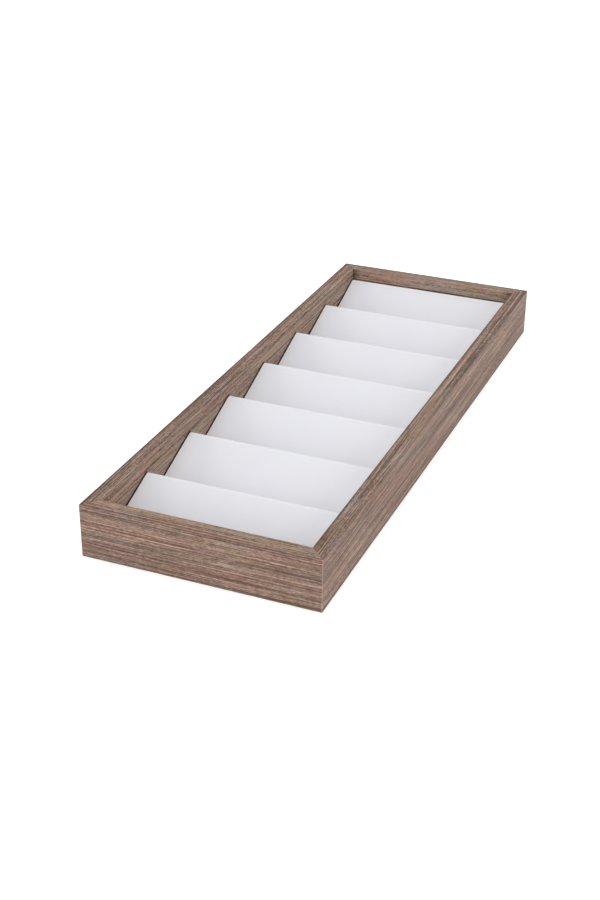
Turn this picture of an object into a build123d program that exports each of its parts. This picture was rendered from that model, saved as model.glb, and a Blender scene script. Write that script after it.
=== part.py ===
from build123d import *
import os
from math import cos, radians, tan

# A tray for spectacles: four mitred rails round a base board, and a row of slanted,
# leatherette-covered steps on it. One pair of spectacles lies on each step.
# Millimetres. +X is the tray's right, +Y its back, +Z up. The origin is the centre
# of the tray's footprint, on the surface that the rails stand on.

# Frame
TRAY_WIDTH = 180.0
TRAY_LENGTH = 510.0
TRAY_HEIGHT = 41.0
RAIL_THICKNESS = 12.0
CORNER_RADIUS = 0.5  # upright corners of the tray
EDGE_RADIUS = 0.4  # long edges of the rails, at the rim and at the foot
INNER_WIDTH = TRAY_WIDTH - 2 * RAIL_THICKNESS
INNER_LENGTH = TRAY_LENGTH - 2 * RAIL_THICKNESS

# Base board, and the groove in the rails that holds it
BASE_THICKNESS = 3.0
BASE_BOTTOM = 4.0  # the board hangs this far above the rails' feet
BASE_TOP = BASE_BOTTOM + BASE_THICKNESS
GROOVE_DEPTH = 5.0
GROOVE_HEIGHT = 3.2
BASE_TONGUE = 4.5  # how far the board reaches into the groove

# V-nails, driven into the mitres from below
NAIL_HEIGHT = 10.0
NAIL_SINK = 0.5
NAIL_SHEET = 0.8
NAIL_LEG = 5.0
NAIL_FROM_OUTSIDE = 3.0

# Steps
STEP_COUNT = 7
STEP_WIDTH = 154.4
STEP_DEPTH = 66.0
STEP_PITCH = (INNER_LENGTH - STEP_DEPTH) / (STEP_COUNT - 1)
SLOPE = 20.0  # degrees, rising towards the back
TOE_HEIGHT = 1.8  # of the slanted face above the base board, at the step's front
TOE_RADIUS = 1.2
NOSE_RADIUS = 3.5  # the rolled top edge
COVER_THICKNESS = 0.8
COVER_END_RADIUS = 0.5  # where the covering turns down at the step's two ends
BOARD_THICKNESS = 2.5
RISER_THICKNESS = 2.5
CORE_WIDTH = STEP_WIDTH - 2 * COVER_THICKNESS
CORE_BACK = STEP_DEPTH - COVER_THICKNESS
CORE_INSET = COVER_THICKNESS + BOARD_THICKNESS  # from the covering's face to the board's underside


def save(piece, name):
    """Labels a finished piece and writes it to a file of the same name."""
    piece.part.label = name
    export_step(piece.part, f"parts/{name}.step")


def nail_plan():
    """The four V-nails seen from above, one across each mitre."""
    outer_x = TRAY_WIDTH / 2 - NAIL_FROM_OUTSIDE
    outer_y = TRAY_LENGTH / 2 - NAIL_FROM_OUTSIDE
    with BuildSketch() as plan:
        with BuildLine():
            Polyline(
                (outer_x, outer_y),
                (outer_x - NAIL_LEG, outer_y),
                (outer_x - NAIL_LEG, outer_y - NAIL_SHEET),
                (outer_x - NAIL_SHEET, outer_y - NAIL_SHEET),
                (outer_x - NAIL_SHEET, outer_y - NAIL_LEG),
                (outer_x, outer_y - NAIL_LEG),
                close=True,
            )
        make_face()
        mirror(about=Plane.YZ)
        mirror(about=Plane.XZ)
    return plan.sketch


def slope_height(distance, inset):
    """Height above the base board of a line parallel to a step's slanted face.

    The line lies inset below the face, and distance is measured from the step's front.
    """
    slope = radians(SLOPE)
    return TOE_HEIGHT + distance * tan(slope) - inset / cos(slope)


def step_outline(inset):
    """A step's side view, with its front, slope and back moved in by inset."""
    front, back = inset, STEP_DEPTH - inset
    with BuildSketch() as outline:
        with BuildLine():
            FilletPolyline(
                (front, 0),
                (front, slope_height(front, inset)),
                (back, slope_height(back, inset)),
                (back, 0),
                radius=[TOE_RADIUS - inset, NOSE_RADIUS - inset],
            )
            Line((back, 0), (front, 0))
        make_face()
    return outline.sketch


def board_section():
    """The slanted board's side view. Its underside is planed level where it meets the base."""
    planed_to = -slope_height(0, CORE_INSET) / tan(radians(SLOPE))
    with BuildSketch() as section:
        add(step_outline(COVER_THICKNESS))
        with BuildLine():
            Polyline(
                (planed_to, 0),
                (CORE_BACK, 0),
                (CORE_BACK, slope_height(CORE_BACK, CORE_INSET)),
                close=True,
            )
        make_face(mode=Mode.SUBTRACT)
    return section.sketch


def riser_section():
    """The riser's side view. Its top is planed to the slope and meets the board's underside."""
    front = CORE_BACK - RISER_THICKNESS
    with BuildSketch() as section:
        add(step_outline(COVER_THICKNESS))
        with BuildLine():
            Polyline(
                (front, 0),
                (CORE_BACK, 0),
                (CORE_BACK, slope_height(CORE_BACK, CORE_INSET)),
                (front, slope_height(front, CORE_INSET)),
                close=True,
            )
        make_face(mode=Mode.INTERSECT)
    return section.sketch


def step_plane(index):
    """Where a step's side view stands: first axis from its front to its back, second axis up."""
    front = -INNER_LENGTH / 2 + index * STEP_PITCH
    return Plane(origin=(0, front, BASE_TOP), x_dir=(0, 1, 0), z_dir=(1, 0, 0))


os.makedirs("parts", exist_ok=True)

# ---- Frame: one grooved ring, sawn into four rails along the mitres ----

with BuildPart() as ring:
    with BuildSketch():
        RectangleRounded(TRAY_WIDTH, TRAY_LENGTH, CORNER_RADIUS)
        Rectangle(INNER_WIDTH, INNER_LENGTH, mode=Mode.SUBTRACT)
    extrude(amount=TRAY_HEIGHT)
    rim_and_foot = ring.edges().filter_by(Axis.Z, reverse=True)
    fillet(rim_and_foot, radius=EDGE_RADIUS)
    with BuildSketch(Plane.XY.offset(BASE_BOTTOM)):
        Rectangle(INNER_WIDTH + 2 * GROOVE_DEPTH, INNER_LENGTH + 2 * GROOVE_DEPTH)
    extrude(amount=GROOVE_HEIGHT, mode=Mode.SUBTRACT)
    with BuildSketch():
        add(nail_plan())
    extrude(amount=NAIL_SINK + NAIL_HEIGHT, mode=Mode.SUBTRACT)

# Each rail's view from above: local x runs along it, local y points into the tray.
RAILS = {
    "front_rail": (Plane((0, -TRAY_LENGTH / 2, 0), x_dir=(1, 0, 0)), TRAY_WIDTH),
    "right_rail": (Plane((TRAY_WIDTH / 2, 0, 0), x_dir=(0, 1, 0)), TRAY_LENGTH),
    "back_rail": (Plane((0, TRAY_LENGTH / 2, 0), x_dir=(-1, 0, 0)), TRAY_WIDTH),
    "left_rail": (Plane((-TRAY_WIDTH / 2, 0, 0), x_dir=(0, -1, 0)), TRAY_LENGTH),
}

for name, (plane, length) in RAILS.items():
    with BuildPart() as rail:
        add(ring.part)
        with BuildSketch(plane):
            with BuildLine():
                Polyline(
                    (-length / 2, 0),
                    (length / 2, 0),
                    (length / 2 - RAIL_THICKNESS, RAIL_THICKNESS),
                    (-length / 2 + RAIL_THICKNESS, RAIL_THICKNESS),
                    close=True,
                )
            make_face()
        extrude(amount=TRAY_HEIGHT, mode=Mode.INTERSECT)
    save(rail, name)

with BuildPart() as v_nails:
    with BuildSketch(Plane.XY.offset(NAIL_SINK)):
        add(nail_plan())
    extrude(amount=NAIL_HEIGHT)
save(v_nails, "corner_v_nails")

# ---- Base ----

with BuildPart() as base_board:
    with BuildSketch(Plane.XY.offset(BASE_BOTTOM)):
        Rectangle(INNER_WIDTH + 2 * BASE_TONGUE, INNER_LENGTH + 2 * BASE_TONGUE)
    extrude(amount=BASE_THICKNESS)
save(base_board, "base_board")

# ---- Steps, from the front of the tray to its back ----

for index in range(STEP_COUNT):
    side = step_plane(index)

    with BuildPart() as step_board:
        with BuildSketch(side):
            add(board_section())
        extrude(amount=CORE_WIDTH / 2, both=True)
    save(step_board, f"step_board_{index + 1}")

    with BuildPart() as step_riser:
        with BuildSketch(side):
            add(riser_section())
        extrude(amount=CORE_WIDTH / 2, both=True)
    save(step_riser, f"step_riser_{index + 1}")

    # The covering goes over the front, the slope and the back, and closes both ends.
    with BuildPart() as step_cover:
        with BuildSketch(side):
            add(step_outline(0))
            add(step_outline(COVER_THICKNESS), mode=Mode.SUBTRACT)
        extrude(amount=STEP_WIDTH / 2, both=True)
        with BuildSketch(side.offset(CORE_WIDTH / 2), side.offset(-STEP_WIDTH / 2)):
            add(board_section())
            add(riser_section())
        extrude(amount=COVER_THICKNESS)
        ends = step_cover.faces().filter_by(Axis.X).sort_by(Axis.X)
        slope_ends = [end.edges().sort_by(SortBy.LENGTH)[-1] for end in (ends[0], ends[-1])]
        fillet(slope_ends, radius=COVER_END_RADIUS)
    save(step_cover, f"step_cover_{index + 1}")
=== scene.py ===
from math import cos, pi, radians, sin, tan

import bmesh
import bpy
from mathutils import Matrix, Vector, noise


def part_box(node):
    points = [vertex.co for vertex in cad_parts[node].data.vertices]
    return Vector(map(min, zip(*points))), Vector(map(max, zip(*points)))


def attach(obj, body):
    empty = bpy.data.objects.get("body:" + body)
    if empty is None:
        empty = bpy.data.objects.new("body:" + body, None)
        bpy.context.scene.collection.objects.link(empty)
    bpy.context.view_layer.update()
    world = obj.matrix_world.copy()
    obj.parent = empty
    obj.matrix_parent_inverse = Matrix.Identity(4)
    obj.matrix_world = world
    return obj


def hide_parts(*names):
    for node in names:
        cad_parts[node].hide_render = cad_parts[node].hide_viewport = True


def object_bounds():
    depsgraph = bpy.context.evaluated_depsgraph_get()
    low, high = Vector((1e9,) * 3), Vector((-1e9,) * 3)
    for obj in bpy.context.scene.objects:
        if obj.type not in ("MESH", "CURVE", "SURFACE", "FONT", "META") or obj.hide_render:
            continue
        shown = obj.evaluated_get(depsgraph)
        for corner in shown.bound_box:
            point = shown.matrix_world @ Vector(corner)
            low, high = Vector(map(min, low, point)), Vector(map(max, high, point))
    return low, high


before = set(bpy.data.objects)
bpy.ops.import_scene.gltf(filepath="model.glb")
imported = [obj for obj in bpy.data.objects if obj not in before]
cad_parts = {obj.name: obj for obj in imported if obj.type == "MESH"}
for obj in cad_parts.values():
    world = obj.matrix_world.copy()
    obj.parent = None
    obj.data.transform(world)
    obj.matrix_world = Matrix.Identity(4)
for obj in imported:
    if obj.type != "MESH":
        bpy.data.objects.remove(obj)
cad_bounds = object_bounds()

# A tray for spectacles: four mitred rails in a streaky wood decor, and a row of slanted
# steps covered in white leatherette. Metres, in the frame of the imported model.

MM = 0.001
RAILS = ("front_rail", "right_rail", "back_rail", "left_rail")
STEPS = sorted(
    (name.rsplit("_", 1)[1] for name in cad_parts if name.startswith("step_cover_")),
    key=int,
)

LOW, HIGH = cad_bounds

# Side view of a step. Its place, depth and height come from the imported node's box.
SLOPE = radians(20)
TOE_RADIUS = 1.2 * MM
NOSE_RADIUS = 3.5 * MM
COVER_THICKNESS = 0.8 * MM
GLUE_GAP = 0.1 * MM
RISER_THICKNESS = 2.5 * MM
CORE_INSET = 3.3 * MM  # from the covering's face to the board's underside
END_RADIUS = 0.5 * MM  # where the covering turns down at the step's ends


# ---- Camera, floor and light ----

CAMERA_AZIMUTH = radians(22.39)
CAMERA_ELEVATION = radians(27.77)
CAMERA_ROLL = radians(0.44)
CAMERA_DISTANCE = 1.1176
CAMERA_TARGET = Vector((0.0034, -0.08505, 0.0205))
CAMERA_LENS = 58.58


def make_camera():
    """The photographer's view: from the front, a little to the right and above."""
    back = Vector(
        (
            sin(CAMERA_AZIMUTH) * cos(CAMERA_ELEVATION),
            -cos(CAMERA_AZIMUTH) * cos(CAMERA_ELEVATION),
            sin(CAMERA_ELEVATION),
        )
    )
    right = Vector((0, 0, 1)).cross(back).normalized()
    up = back.cross(right)
    tilted_right = right * cos(CAMERA_ROLL) + up * sin(CAMERA_ROLL)
    tilted_up = up * cos(CAMERA_ROLL) - right * sin(CAMERA_ROLL)
    data = bpy.data.cameras.new("camera")
    data.sensor_width = 36
    data.lens = CAMERA_LENS
    data.clip_end = 50
    camera = bpy.data.objects.new("camera", data)
    rotation = Matrix((tilted_right, tilted_up, back)).transposed().to_4x4()
    camera.matrix_world = Matrix.Translation(CAMERA_TARGET + back * CAMERA_DISTANCE) @ rotation
    bpy.context.scene.collection.objects.link(camera)
    bpy.context.scene.camera = camera


def link_mesh(name, vertices, faces):
    """A new mesh object from plain lists of corners and faces."""
    mesh = bpy.data.meshes.new(name)
    mesh.from_pydata(vertices, [], faces)
    mesh.update()
    obj = bpy.data.objects.new(name, mesh)
    bpy.context.scene.collection.objects.link(obj)
    return obj


FLOOR_HALF = 12.0
FLOOR_DROP = 0.0002  # the floor lies just under the rails' feet
FLOOR_GLOW = 0.46  # lit from below, as a white sweep is
FAR_GLOW = 0.80  # its far part, which the lamps don't reach
GLOW_FROM = 1200  # millimetres out, where the glow starts to rise
GLOW_TO = 3500
BACKDROP_RADIUS = 11.0
BACKDROP_GLOW = 1.1
ROOM_GLOW = 0.44
LAMP_SIZE = 1.6
LAMPS = {  # where each softbox hangs, and its watts
    "left_softbox": ((-2.2, 0, 0.7), 20),
    "right_softbox": ((2.2, 0, 0.7), 16),
    "front_softbox": ((0, -2.3, 0.7), 20),
    "back_softbox": ((0, 2.3, 0.7), 10),
    "top_softbox": ((0, 0, 2.4), 15),
}


def make_floor():
    """A pale floor under the tray, which grows brighter far out, as a lit sweep does."""
    h = FLOOR_HALF
    floor = link_mesh("floor", [(-h, -h, 0), (h, -h, 0), (h, h, 0), (-h, h, 0)], [(0, 1, 2, 3)])
    floor.location.z = LOW.z - FLOOR_DROP
    graph = Graph("floor_paper")
    graph.set("Base Color", (0.88, 0.88, 0.88, 1))
    graph.set("Roughness", 0.9)
    graph.set("Specular IOR Level", 0.1)
    graph.set("Emission Color", (1, 1, 1, 1))
    place = graph.place()
    away = graph.math("SQRT", graph.dot(place, place))
    far = graph.step(away, GLOW_FROM, GLOW_TO)
    glow = graph.math("MULTIPLY_ADD", far, FAR_GLOW - FLOOR_GLOW, FLOOR_GLOW)
    graph.feed("Emission Strength", glow)
    floor.data.materials.append(graph.material)


def make_backdrop():
    """A white dome far behind everything. It is only a background: it gives and stops no light."""
    mesh = bpy.data.meshes.new("backdrop")
    shape = bmesh.new()
    bmesh.ops.create_uvsphere(shape, u_segments=48, v_segments=24, radius=BACKDROP_RADIUS)
    shape.to_mesh(mesh)
    shape.free()
    backdrop = bpy.data.objects.new("backdrop", mesh)
    bpy.context.scene.collection.objects.link(backdrop)
    graph = Graph("backdrop_white")
    graph.set("Base Color", (0, 0, 0, 1))
    graph.set("Specular IOR Level", 0.0)
    graph.set("Emission Color", (1, 1, 1, 1))
    graph.set("Emission Strength", BACKDROP_GLOW)
    mesh.materials.append(graph.material)
    for ray in ("diffuse", "glossy", "transmission", "volume_scatter", "shadow"):
        setattr(backdrop, f"visible_{ray}", False)


def softbox(name, place, watts):
    """A large square lamp aimed at the middle of the scene."""
    data = bpy.data.lights.new(name, "AREA")
    data.shape = "SQUARE"
    data.size = LAMP_SIZE
    data.energy = watts
    light = bpy.data.objects.new(name, data)
    light.location = place
    light.rotation_euler = (-Vector(place)).to_track_quat("-Z", "Y").to_euler()
    light.visible_camera = False
    bpy.context.scene.collection.objects.link(light)


def make_light():
    """A white room with large soft lamps low on all four sides and one overhead."""
    world = bpy.data.worlds.new("studio")
    world.use_nodes = True
    background = world.node_tree.nodes["Background"]
    background.inputs["Color"].default_value = (1, 1, 1, 1)
    background.inputs["Strength"].default_value = ROOM_GLOW
    bpy.context.scene.world = world
    for name, (place, watts) in LAMPS.items():
        softbox(name, place, watts)
    view = bpy.context.scene.view_settings
    view.view_transform = "Standard"
    view.look = "None"


# ---- Materials ----


class Graph:
    """A material's nodes, with a short call for each kind that is used here."""

    def __init__(self, name):
        self.material = bpy.data.materials.new(name)
        self.material.use_nodes = True
        self.tree = self.material.node_tree
        self.shader = self.tree.nodes["Principled BSDF"]

    def set(self, socket, value):
        self.shader.inputs[socket].default_value = value

    def feed(self, socket, source):
        self.tree.links.new(source, self.shader.inputs[socket])

    def add(self, kind, inputs=(), **settings):
        """A new node. inputs are constants or outputs of other nodes, in socket order."""
        node = self.tree.nodes.new(kind)
        for key, value in settings.items():
            setattr(node, key, value)
        for socket, value in zip(node.inputs, inputs):
            if isinstance(value, bpy.types.NodeSocket):
                self.tree.links.new(value, socket)
            elif value is not None:
                socket.default_value = value
        return node

    def math(self, operation, a, b=0.0, c=0.0):
        return self.add("ShaderNodeMath", (a, b, c), operation=operation).outputs[0]

    def dot(self, vector, direction):
        node = self.add("ShaderNodeVectorMath", (vector, direction), operation="DOT_PRODUCT")
        return node.outputs["Value"]

    def place(self):
        """Where a point is on the object, in millimetres."""
        where = self.add("ShaderNodeTexCoord").outputs["Object"]
        node = self.add("ShaderNodeVectorMath", (where,), operation="SCALE")
        node.inputs["Scale"].default_value = 1 / MM
        return node.outputs["Vector"]

    def vector(self, x, y, z):
        return self.add("ShaderNodeCombineXYZ", (x, y, z)).outputs[0]

    def parts(self, vector):
        return self.add("ShaderNodeSeparateXYZ", (vector,)).outputs

    def noise(self, vector, size=1.0, detail=2.0, roughness=0.5):
        """Noise from 0 to 1 whose blobs are about size wide, in the vector's units."""
        node = self.add("ShaderNodeTexNoise")
        self.tree.links.new(vector, node.inputs["Vector"])
        node.inputs["Scale"].default_value = 1 / size
        node.inputs["Detail"].default_value = detail
        node.inputs["Roughness"].default_value = roughness
        return node.outputs["Fac"]

    def cells(self, vector, size):
        """How far a point is from the middle of its cell; the cells are about size wide."""
        node = self.add("ShaderNodeTexVoronoi")
        self.tree.links.new(vector, node.inputs["Vector"])
        node.inputs["Scale"].default_value = 1 / size
        return node.outputs["Distance"]

    def ramp(self, factor, stops):
        """Colours along a factor. stops are (place, (r, g, b))."""
        node = self.add("ShaderNodeValToRGB", (factor,))
        elements = node.color_ramp.elements
        while len(elements) < len(stops):
            elements.new(0.5)
        for element, (place, colour) in zip(elements, stops):
            element.position = place
            element.color = (*colour, 1)
        return node.outputs["Color"]

    def step(self, factor, low, high):
        """0 below low, 1 above high, and smooth between; low may be above high."""
        node = self.add("ShaderNodeMapRange", interpolation_type="SMOOTHSTEP")
        if low > high:
            low, high, ends = high, low, (1.0, 0.0)
        else:
            ends = (0.0, 1.0)
        self.tree.links.new(factor, node.inputs["Value"])
        node.inputs["From Min"].default_value = low
        node.inputs["From Max"].default_value = high
        node.inputs["To Min"].default_value = ends[0]
        node.inputs["To Max"].default_value = ends[1]
        return node.outputs["Result"]

    def between(self, factor, low, high):
        """The factor's 0 to 1 spread from low to high."""
        node = self.add("ShaderNodeMapRange")
        self.tree.links.new(factor, node.inputs["Value"])
        node.inputs["To Min"].default_value = low
        node.inputs["To Max"].default_value = high
        return node.outputs["Result"]

    def mix(self, factor, a, b, blend="MIX"):
        """Colour a where factor is 0 and b where it is 1. Each may be a constant."""
        node = self.add("ShaderNodeMix", data_type="RGBA", blend_type=blend)
        for socket, value in ((node.inputs[0], factor), (node.inputs[6], a), (node.inputs[7], b)):
            if isinstance(value, bpy.types.NodeSocket):
                self.tree.links.new(value, socket)
            else:
                socket.default_value = value
        return node.outputs[2]

    def bump(self, height, depth):
        """Relief from a height of 0 to 1 that is depth millimetres deep."""
        node = self.add("ShaderNodeBump")
        self.tree.links.new(height, node.inputs["Height"])
        node.inputs["Distance"].default_value = depth * MM
        self.feed("Normal", node.outputs["Normal"])


def rgb(r, g, b):
    return (r, g, b, 1)


# The wood decor's sizes are in millimetres, because its patterns are.
WIDTH = (HIGH.x - LOW.x) / MM
LENGTH = (HIGH.y - LOW.y) / MM
THICKNESS = (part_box("front_rail")[1].y - LOW.y) / MM
OUTER_RIM = HIGH.z / MM
INNER_RIM = OUTER_RIM + THICKNESS
SIDE = WIDTH / 2 + LENGTH / 2  # from one rail's middle, round the corner, to the next one's

# Each rail: the way its grain runs, the way out of the tray, its outside length, the
# tray's outside size across it, and how far round the tray its middle is. Then how much
# lighter it is painted on its outside, its outer arris, its top, its inner arris and its
# inside: painted light and shade for how the lamps fall on each face.
RAIL_DECOR = {
    "front_rail": ((1, 0, 0), (0, -1, 0), WIDTH, LENGTH, 0.0, (-0.04, -0.02, 0.13, 0.13, 0.13)),
    "right_rail": ((0, 1, 0), (1, 0, 0), LENGTH, WIDTH, SIDE, (-0.02, -0.13, -0.01, -0.30, 0.05)),
    "back_rail": ((-1, 0, 0), (0, 1, 0), WIDTH, LENGTH, 2 * SIDE, (-0.02, -0.20, 0.09, 0.09, 0.18)),
    "left_rail": ((0, -1, 0), (-1, 0, 0), LENGTH, WIDTH, 3 * SIDE, (-0.02, -0.31, 0.01, 0.01, 0.16)),
}
# A painted contact shadow: the outside's lowest two millimetres are darker.
PAINTED_FOOT_SHADOW = -0.20  # the same for the lowest part of the outside

# The streaks that add up to the tone: how long and how wide they are, a seed, how much
# finer detail they have and how rough it is, and how strongly they count.
TONE_STREAKS = (
    (150, 1.0, 11.3, 1, 0.5, 0.95),  # long lines
    (45, 0.8, 52.9, 1, 0.5, 0.60),  # broken threads
    (200, 2.0, 19.6, 1, 0.5, 0.15),  # broad bands
    (7, 1.3, 66.8, 1, 0.5, 0.25),  # dashes
    (2.4, 0.85, 33.4, 2, 0.6, 0.75),  # short flecks
)
WOOD_TONES = (
    (0.22, (0.109, 0.065, 0.049)),
    (0.38, (0.177, 0.111, 0.085)),
    (0.50, (0.240, 0.154, 0.118)),
    (0.62, (0.308, 0.207, 0.157)),
    (0.80, (0.440, 0.315, 0.243)),
)
FIBRE_TONES = ((0.3, (0.80, 0.79, 0.78)), (0.7, (1.20, 1.21, 1.22)))
OLIVE_TINT = rgb(0.91, 1.02, 1.05)
ROSY_TINT = rgb(1.09, 0.975, 0.945)
COOL_TINT = rgb(1.00, 1.00, 1.10)
WARM_TINT = rgb(1.00, 1.00, 0.90)
VEIN = rgb(0.095, 0.055, 0.042)
PORE = rgb(0.075, 0.046, 0.036)
RUBBED = rgb(0.50, 0.39, 0.33)
GLUE_LINE = rgb(0.09, 0.06, 0.05)
# A near-black for painted shade in the rails' gaps, creases and inner corners.
CREVICE_SHADE = rgb(0.022, 0.017, 0.015)

# How strongly each of them shows, from 0 to 1.
VEIN_STRENGTH = 0.55
PORE_STRENGTH = 0.4
RIM_WEAR = 0.15
CORNER_WEAR = 0.35
GLUE_STRENGTH = 0.4
# The last three are painted shade: in the gaps at the steps' ends, in the crease over the end steps and
# in the end rails' inner corners.
STEP_GAP_SHADE = 0.92
CREASE_SHADE = 0.6
CORNER_SHADE = 0.88


def step_place(graph, place):
    """How far back from its own step's front a point is, and a step's size, in millimetres."""
    low, high = (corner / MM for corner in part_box(f"step_cover_{STEPS[0]}"))
    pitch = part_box(f"step_cover_{STEPS[1]}")[0].y / MM - low.y
    back = graph.math("SUBTRACT", graph.parts(place)[1], low.y)
    return graph.math("FLOORED_MODULO", back, pitch), low, high


def side_gap_shade(graph, place):
    """How much painted shade a side rail has inside: in the gap at the steps' ends, below their slanted
    faces.
    """
    back, low, high = step_place(graph, place)
    nose = high - low - Vector((0, 1, 1)) * NOSE_RADIUS / MM
    crest = high.z - NOSE_RADIUS / MM * (1 - 1 / cos(SLOPE))
    face = graph.math("MULTIPLY_ADD", graph.math("SUBTRACT", back, nose.y), tan(SLOPE), crest)
    face = graph.math("MINIMUM", face, high.z)
    dip = graph.math("SUBTRACT", face, graph.parts(place)[2])
    under = graph.math("MULTIPLY", graph.step(dip, -0.8, -0.3), graph.step(back, nose.y + 3, nose.y + 2))
    return graph.math("MULTIPLY", under, STEP_GAP_SHADE)


def end_corner_shade(graph, name, place, off_mitre):
    """How much painted shade an end rail has inside: in its corners, and in the crease over the step
    there.
    """
    if name == "front_rail":
        crease_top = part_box(f"step_cover_{STEPS[0]}")[0].z / MM + 2
    else:
        crease_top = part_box(f"step_cover_{STEPS[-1]}")[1].z / MM
    crease = graph.step(graph.parts(place)[2], crease_top + 0.9, crease_top - 0.3)
    crease = graph.math("MULTIPLY", crease, CREASE_SHADE)
    corner = graph.math("MULTIPLY", graph.step(off_mitre, 9, -3), CORNER_SHADE)
    return graph.math("MAXIMUM", corner, crease)


def grain_streaks(graph, u, v):
    """A function that makes streaks. Their grain wanders: a slow wave and a small waver."""
    flat = graph.vector(graph.math("MULTIPLY", u, 1 / 140), graph.math("MULTIPLY", v, 1 / 30), 3.7)
    slow = graph.math("MULTIPLY_ADD", graph.noise(flat, detail=1), 1.0, v)
    fine = graph.vector(graph.math("MULTIPLY", u, 1 / 45), graph.math("MULTIPLY", v, 1 / 5), 8.1)
    grain = graph.math("MULTIPLY_ADD", graph.noise(fine, detail=1), 0.5, slow)

    def streaks(long, wide, seed, detail=1.0, roughness=0.5):
        vector = graph.vector(
            graph.math("MULTIPLY", u, 1 / long), graph.math("MULTIPLY", grain, 1 / wide), seed
        )
        return graph.noise(vector, detail=detail, roughness=roughness)

    return streaks


def decor_tone(graph, streaks):
    """The tone of the pattern: about 0 on average, less in dark streaks and more in pale ones."""
    tone = -sum(strength for *_, strength in TONE_STREAKS) / 2
    for *streak, strength in TONE_STREAKS:
        tone = graph.math("MULTIPLY_ADD", streaks(*streak), strength, tone)
    return tone


def decor_shade(graph, tone, upper, v, painted_light_and_shade):
    """How light the wood is. The pattern is stronger on top and inside, and each face and arris gets its
    own painted light and shade, with a painted contact shadow along the outside's foot.
    """
    outside, outer, top, inner, inside = painted_light_and_shade
    zones = (
        (2.0, outside - PAINTED_FOOT_SHADOW),
        (OUTER_RIM - 1, outer - outside),
        (OUTER_RIM + 1.8, top - outer),
        (INNER_RIM - 1.6, inner - top),
        (INNER_RIM, inside - inner),
    )
    shade = graph.math("MULTIPLY_ADD", tone, graph.between(upper, 1.05, 1.5), 0.5 + PAINTED_FOOT_SHADOW)
    for edge, change in zones:
        shade = graph.math("MULTIPLY_ADD", graph.step(v, edge - 0.3, edge + 0.3), change, shade)
    return shade


def decor_colour(graph, streaks, shade, upper):
    """The wood's colour, in patches that lean to olive or rosy and to a cool or a warm tan."""
    body = graph.ramp(shade, WOOD_TONES)
    strength = graph.between(upper, 0.6, 0.95)
    hue = graph.math("MULTIPLY_ADD", streaks(9, 3.5, 15.2), 0.45, -0.225)
    hue = graph.step(graph.math("ADD", streaks(70, 8, 27.9), hue), 0.28, 0.72)
    body = graph.mix(strength, body, graph.mix(hue, OLIVE_TINT, ROSY_TINT), "MULTIPLY")
    warm = graph.step(streaks(45, 6, 63.1), 0.30, 0.70)
    body = graph.mix(strength, body, graph.mix(warm, COOL_TINT, WARM_TINT), "MULTIPLY")
    fibres = graph.ramp(streaks(16, 0.2, 84.6, detail=2.0), FIBRE_TONES)
    return graph.mix(0.9, body, fibres, "MULTIPLY")


def rub_edges(graph, body, place, v, off_corner):
    """Paler arrises: patchy along the rim, and even down the upright corners."""
    off_outer = graph.math("ABSOLUTE", graph.math("SUBTRACT", v, OUTER_RIM))
    off_inner = graph.math("ABSOLUTE", graph.math("SUBTRACT", v, INNER_RIM))
    worn = graph.step(graph.math("MINIMUM", off_outer, off_inner), 0.75, 0.15)
    patchy = graph.step(graph.noise(place, size=9, detail=3), 0.35, 0.7)
    worn = graph.math("MULTIPLY", worn, graph.math("MULTIPLY", patchy, RIM_WEAR))
    corner = graph.math("MULTIPLY", graph.step(off_corner, 0.8, 0.2), CORNER_WEAR)
    return graph.mix(graph.math("MAXIMUM", worn, corner), body, RUBBED)


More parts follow.
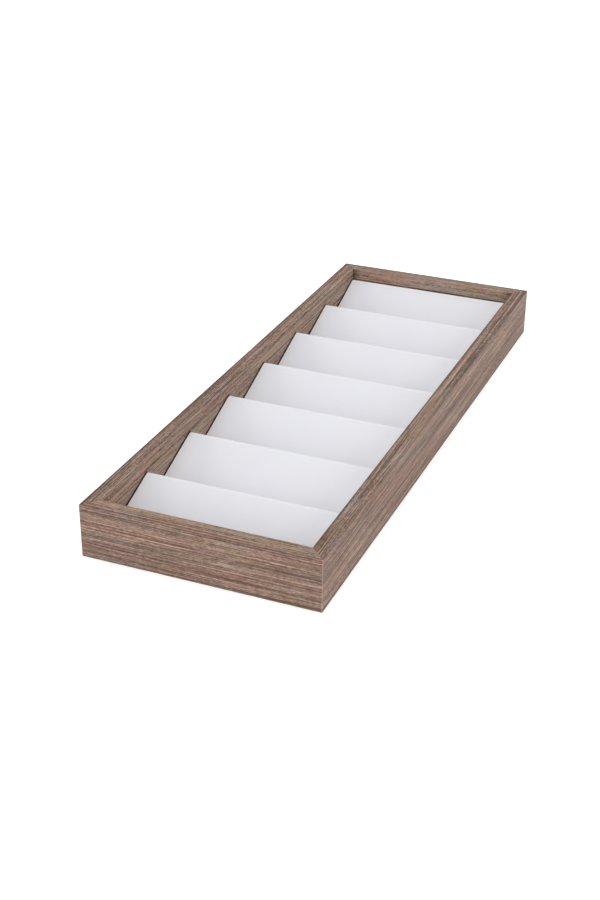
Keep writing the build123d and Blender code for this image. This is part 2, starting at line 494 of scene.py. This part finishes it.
def rail_decor(name):
    """Wood decor whose long streaks run with the rail and wrap over its edges."""
    along, outward, length, span, start, painted_light_and_shade = RAIL_DECOR[name]
    graph = Graph(f"wood_decor_{name}")
    place = graph.place()
    run = graph.dot(place, along)
    depth = graph.math("SUBTRACT", span / 2, graph.dot(place, outward))
    below_rim = graph.math("SUBTRACT", OUTER_RIM, graph.parts(place)[2])
    inner_half = graph.math("GREATER_THAN", depth, THICKNESS / 2)
    # u goes round the tray. v goes up the outside, over the rim and down the inside, and the
    # foil's seam is underneath.
    u = graph.math("ADD", run, start)
    down_or_up = graph.math("MULTIPLY_ADD", inner_half, 2, -1)
    v = graph.math("MULTIPLY_ADD", below_rim, down_or_up, OUTER_RIM)
    v = graph.math("ADD", v, depth)
    upper = graph.step(v, OUTER_RIM, OUTER_RIM + 1.5)

    streaks = grain_streaks(graph, u, v)
    tone = decor_tone(graph, streaks)
    body = decor_colour(graph, streaks, decor_shade(graph, tone, upper, v, painted_light_and_shade), upper)
    veins = graph.step(streaks(42, 0.8, 41.2), 0.38, 0.27)
    body = graph.mix(graph.math("MULTIPLY", veins, VEIN_STRENGTH), body, VEIN)
    pores = graph.step(streaks(4.5, 0.35, 73.4), 0.38, 0.27)
    body = graph.mix(graph.math("MULTIPLY", pores, PORE_STRENGTH), body, PORE)

    off_corner = graph.math("SUBTRACT", length / 2, graph.math("ABSOLUTE", run))
    body = rub_edges(graph, body, place, v, off_corner)
    off_mitre = graph.math("SUBTRACT", off_corner, depth)
    seam = graph.math("MULTIPLY", graph.step(off_mitre, 0.35, 0.1), graph.step(depth, 0.5, 1.0))
    body = graph.mix(graph.math("MULTIPLY", seam, GLUE_STRENGTH), body, GLUE_LINE)
    # Painted shade inside the rail: on a side rail in the gaps at the steps' ends, on an end rail in its
    # corners and its crease over the step.
    if outward[0]:
        painted_shade = side_gap_shade(graph, place)
    else:
        painted_shade = end_corner_shade(graph, name, place, off_mitre)
    painted_shade = graph.math("MULTIPLY", painted_shade, graph.step(depth, THICKNESS - 0.3, THICKNESS - 0.1))
    body = graph.mix(painted_shade, body, CREVICE_SHADE)
    graph.feed("Base Color", body)

    relief = graph.math("SUBTRACT", graph.math("MULTIPLY", tone, 0.5), graph.math("MULTIPLY", pores, 0.3))
    relief = graph.math("SUBTRACT", relief, graph.math("MULTIPLY", veins, 0.25))
    graph.bump(relief, 0.12)
    graph.feed("Roughness", graph.between(streaks(40, 1.5, 91.0, detail=2.0), 0.54, 0.68))
    graph.set("Specular IOR Level", 0.2)
    return graph.material


def leatherette():
    """White coated fabric: satin, with a fine even pebble, and a painted highlight along each step's
    rolled top edge and ends.
    """
    graph = Graph("white_leatherette")
    place = graph.place()
    tone = graph.noise(place, size=38, detail=3)
    body = graph.mix(tone, rgb(0.80, 0.802, 0.851), rgb(0.84, 0.844, 0.882))
    pebble = graph.cells(place, 0.55)
    creases = graph.step(pebble, 0.10, 0.55)
    body = graph.mix(graph.math("MULTIPLY", creases, 0.06), body, rgb(0.70, 0.70, 0.73))
    # A painted highlight on the rolled top edge and the two ends of each step.
    back, low, high = step_place(graph, place)
    off_nose = graph.math("ABSOLUTE", graph.math("SUBTRACT", back, high.y - low.y - NOSE_RADIUS / MM))
    off_end = graph.math("SUBTRACT", high.x, graph.math("ABSOLUTE", graph.parts(place)[0]))
    on_nose = graph.math("MULTIPLY", graph.step(off_nose, 2.6, 1.0), 0.3)
    end_highlight = graph.math("MULTIPLY", graph.step(off_end, 2.5, 1.3), 0.9)
    body = graph.mix(graph.math("MAXIMUM", on_nose, end_highlight), body, rgb(0.94, 0.935, 0.945))
    graph.feed("Base Color", body)
    soft = graph.noise(place, size=1.6, detail=3)
    graph.bump(graph.math("ADD", graph.math("MULTIPLY", pebble, -0.6), soft), 0.03)
    graph.feed("Roughness", graph.between(graph.noise(place, size=12, detail=2), 0.40, 0.52))
    graph.set("Specular IOR Level", 0.5)
    return graph.material


def fibreboard(name, pale, dark):
    """Pressed wood fibre: fine flecks in two browns."""
    graph = Graph(name)
    place = graph.place()
    flecks = graph.noise(place, size=0.9, detail=4, roughness=0.7)
    clouds = graph.noise(place, size=22, detail=3)
    body = graph.mix(graph.step(flecks, 0.35, 0.68), dark, pale)
    body = graph.mix(graph.math("MULTIPLY", clouds, 0.25), body, dark)
    graph.bump(flecks, 0.08)
    graph.feed("Roughness", graph.between(flecks, 0.72, 0.88))
    return graph, body


def step_fibreboard():
    graph, body = fibreboard("step_fibreboard", rgb(0.52, 0.38, 0.25), rgb(0.34, 0.23, 0.14))
    graph.feed("Base Color", body)
    return graph.material


def base_hardboard():
    """Hardboard with a white coat on its upper face, bare brown below."""
    graph, body = fibreboard("base_hardboard", rgb(0.33, 0.20, 0.115), rgb(0.17, 0.098, 0.055))
    normal = graph.add("ShaderNodeNewGeometry").outputs["Normal"]
    upward = graph.step(graph.parts(normal)[2], 0.4, 0.6)
    graph.feed("Base Color", graph.mix(upward, body, rgb(0.78, 0.77, 0.76)))
    return graph.material


def nail_steel():
    """Bright steel strip with fine rolling marks along it."""
    graph = Graph("nail_steel")
    place = graph.place()
    x, y, z = graph.parts(place)
    marks = graph.noise(graph.vector(x, y, graph.math("MULTIPLY", z, 9)), size=1.5, detail=3)
    graph.feed("Base Color", graph.mix(marks, rgb(0.42, 0.42, 0.43), rgb(0.62, 0.62, 0.63)))
    graph.feed("Roughness", graph.between(marks, 0.25, 0.45))
    graph.bump(marks, 0.02)
    graph.set("Metallic", 1.0)
    return graph.material


def dress(obj, material):
    """Gives an object one material all over."""
    obj.data.materials.clear()
    obj.data.materials.append(material)


# ---- Coverings ----

# How many pieces the covering's mesh has over each stretch.
TOE_PIECES = 6
SLOPE_PIECES = 44
NOSE_PIECES = 14
BACK_PIECES = 12
END_PIECES = 5
ACROSS_PIECES = 76

# How unevenly the glued sheet lies: how deep, and over what length.
PULL = 0.05 * MM
PULL_LENGTH = 26 * MM
DENT = 0.12 * MM  # along the rolled edge
DENT_LENGTH = 12 * MM
GATHER = 0.16 * MM  # on the rolled edge, near the step's ends
GATHER_LENGTH = 9 * MM
GATHER_REACH = 7 * MM


def arc(centre, radius, start, end, count):
    """Points of an arc with their outward normals, from the start angle to the end angle."""
    points = []
    for i in range(count + 1):
        angle = start + (end - start) * i / count
        normal = Vector((cos(angle), sin(angle)))
        points.append((centre + normal * radius, normal))
    return points


def straight(start, end, normal, count):
    """Points strictly between two ends, with one normal."""
    return [(start.lerp(end, i / count), normal) for i in range(1, count)]


def cover_profile(depth, height):
    """The covering's face in side view, from its front foot over the slope to its back foot."""
    up_slope = pi / 2 + SLOPE
    nose = Vector((depth - NOSE_RADIUS, height - NOSE_RADIUS))

    def face_height(distance):
        return nose.y + NOSE_RADIUS / cos(SLOPE) + (distance - nose.x) * tan(SLOPE)

    toe = Vector((TOE_RADIUS, face_height(TOE_RADIUS) - TOE_RADIUS / cos(SLOPE)))
    toe_arc = arc(toe, TOE_RADIUS, pi, up_slope, TOE_PIECES)
    nose_arc = arc(nose, NOSE_RADIUS, up_slope, 0, NOSE_PIECES)
    front, back = Vector((-1, 0)), Vector((1, 0))
    front_foot, back_foot = Vector((0, 0)), Vector((depth, 0))
    profile = [(front_foot, front)]
    profile += toe_arc
    profile += straight(toe_arc[-1][0], nose_arc[0][0], nose_arc[0][1], SLOPE_PIECES)
    profile += nose_arc
    profile += straight(nose_arc[-1][0], back_foot, back, BACK_PIECES)
    profile += [(back_foot, back)]
    underside = face_height(0) - CORE_INSET / cos(SLOPE)
    return profile, underside


def cover_columns(half):
    """Columns across a step: each one's place from the middle, and how far it is rolled in."""
    rolled = [
        (half - END_RADIUS * (1 - sin(t)), END_RADIUS * (1 - cos(t)))
        for t in (pi / 2 * i / END_PIECES for i in range(END_PIECES + 1))
    ]
    inner = half - END_RADIUS
    flat = [(inner * (2 * i / ACROSS_PIECES - 1), 0.0) for i in range(1, ACROSS_PIECES)]
    return [(-x, roll) for x, roll in reversed(rolled)] + flat + rolled


def settle(x, point, half, depth, seed):
    """How far the glued sheet lies in from its true face: a faint uneven pull."""
    pull = 1 + noise.noise(Vector((x, point.x, point.y)) / PULL_LENGTH + seed)
    dents = 0.5 + 0.5 * noise.noise(Vector((x, 2 * point.x, 2 * point.y)) / DENT_LENGTH - seed)
    across = Vector((x / GATHER_LENGTH, point.x / MM, point.y / MM))
    gathers = 0.5 + 0.5 * noise.noise(across + seed)
    near_end = max(0.0, 1 - (half - abs(x)) / GATHER_REACH)
    on_nose = max(0.0, min(1.0, (point.x - depth + 2 * NOSE_RADIUS) / NOSE_RADIUS))
    return PULL * pull + on_nose * (DENT * dents + GATHER * gathers * near_end**2)


def make_covering(number):
    """One step's leatherette: over the front, the slope and the back, and down both ends."""
    low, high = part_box(f"step_cover_{number}")
    depth, height = high.y - low.y, high.z - low.z
    half = (high.x - low.x) / 2
    profile, underside = cover_profile(depth, height)
    columns = cover_columns(half)
    seed = Vector((0, 0, 7.3 * int(number)))

    vertices, faces = [], []
    for point, normal in profile:
        on_foot = point.y == 0
        for x, roll in columns:
            inset = roll if on_foot else roll + settle(x, point, half, depth, seed)
            side = point - normal * inset
            vertices.append((x, low.y + side.x, low.z + side.y))
    wide = len(columns)
    for i in range(len(profile) - 1):
        for j in range(wide - 1):
            a = i * wide + j
            faces.append((a, a + 1, a + wide + 1, a + wide))

    # Each end is closed down to the underside of the board and the inside of the riser.
    riser = depth - COVER_THICKNESS - RISER_THICKNESS
    inside = [
        (riser, 0.0),
        (riser, underside + riser * tan(SLOPE)),
        (-underside / tan(SLOPE), 0.0),
    ]
    for j, x in ((0, -half), (wide - 1, half)):
        loop = [i * wide + j for i in range(len(profile))]
        for y, z in inside:
            loop.append(len(vertices))
            vertices.append((x, low.y + y, low.z + z))
        faces.append(tuple(loop) if x > 0 else tuple(reversed(loop)))

    covering = link_mesh(f"covering_{number}", vertices, faces)
    for face in covering.data.polygons:
        face.use_smooth = len(face.vertices) == 4
    shell = covering.modifiers.new("thickness", "SOLIDIFY")
    shell.thickness = COVER_THICKNESS - GLUE_GAP
    shell.offset = -1
    return covering


def cover_steps(material):
    """A covering for each step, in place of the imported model's plain one."""
    for number in STEPS:
        covering = make_covering(number)
        dress(covering, material)
        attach(covering, "root")
        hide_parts(f"step_cover_{number}")


# ---- The whole ----

make_camera()
make_floor()
make_backdrop()
make_light()

for rail in RAILS:
    dress(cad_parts[rail], rail_decor(rail))
dress(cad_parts["base_board"], base_hardboard())
dress(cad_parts["corner_v_nails"], nail_steel())
board_material = step_fibreboard()
for number in STEPS:
    dress(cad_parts[f"step_board_{number}"], board_material)
    dress(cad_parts[f"step_riser_{number}"], board_material)
cover_steps(leatherette())
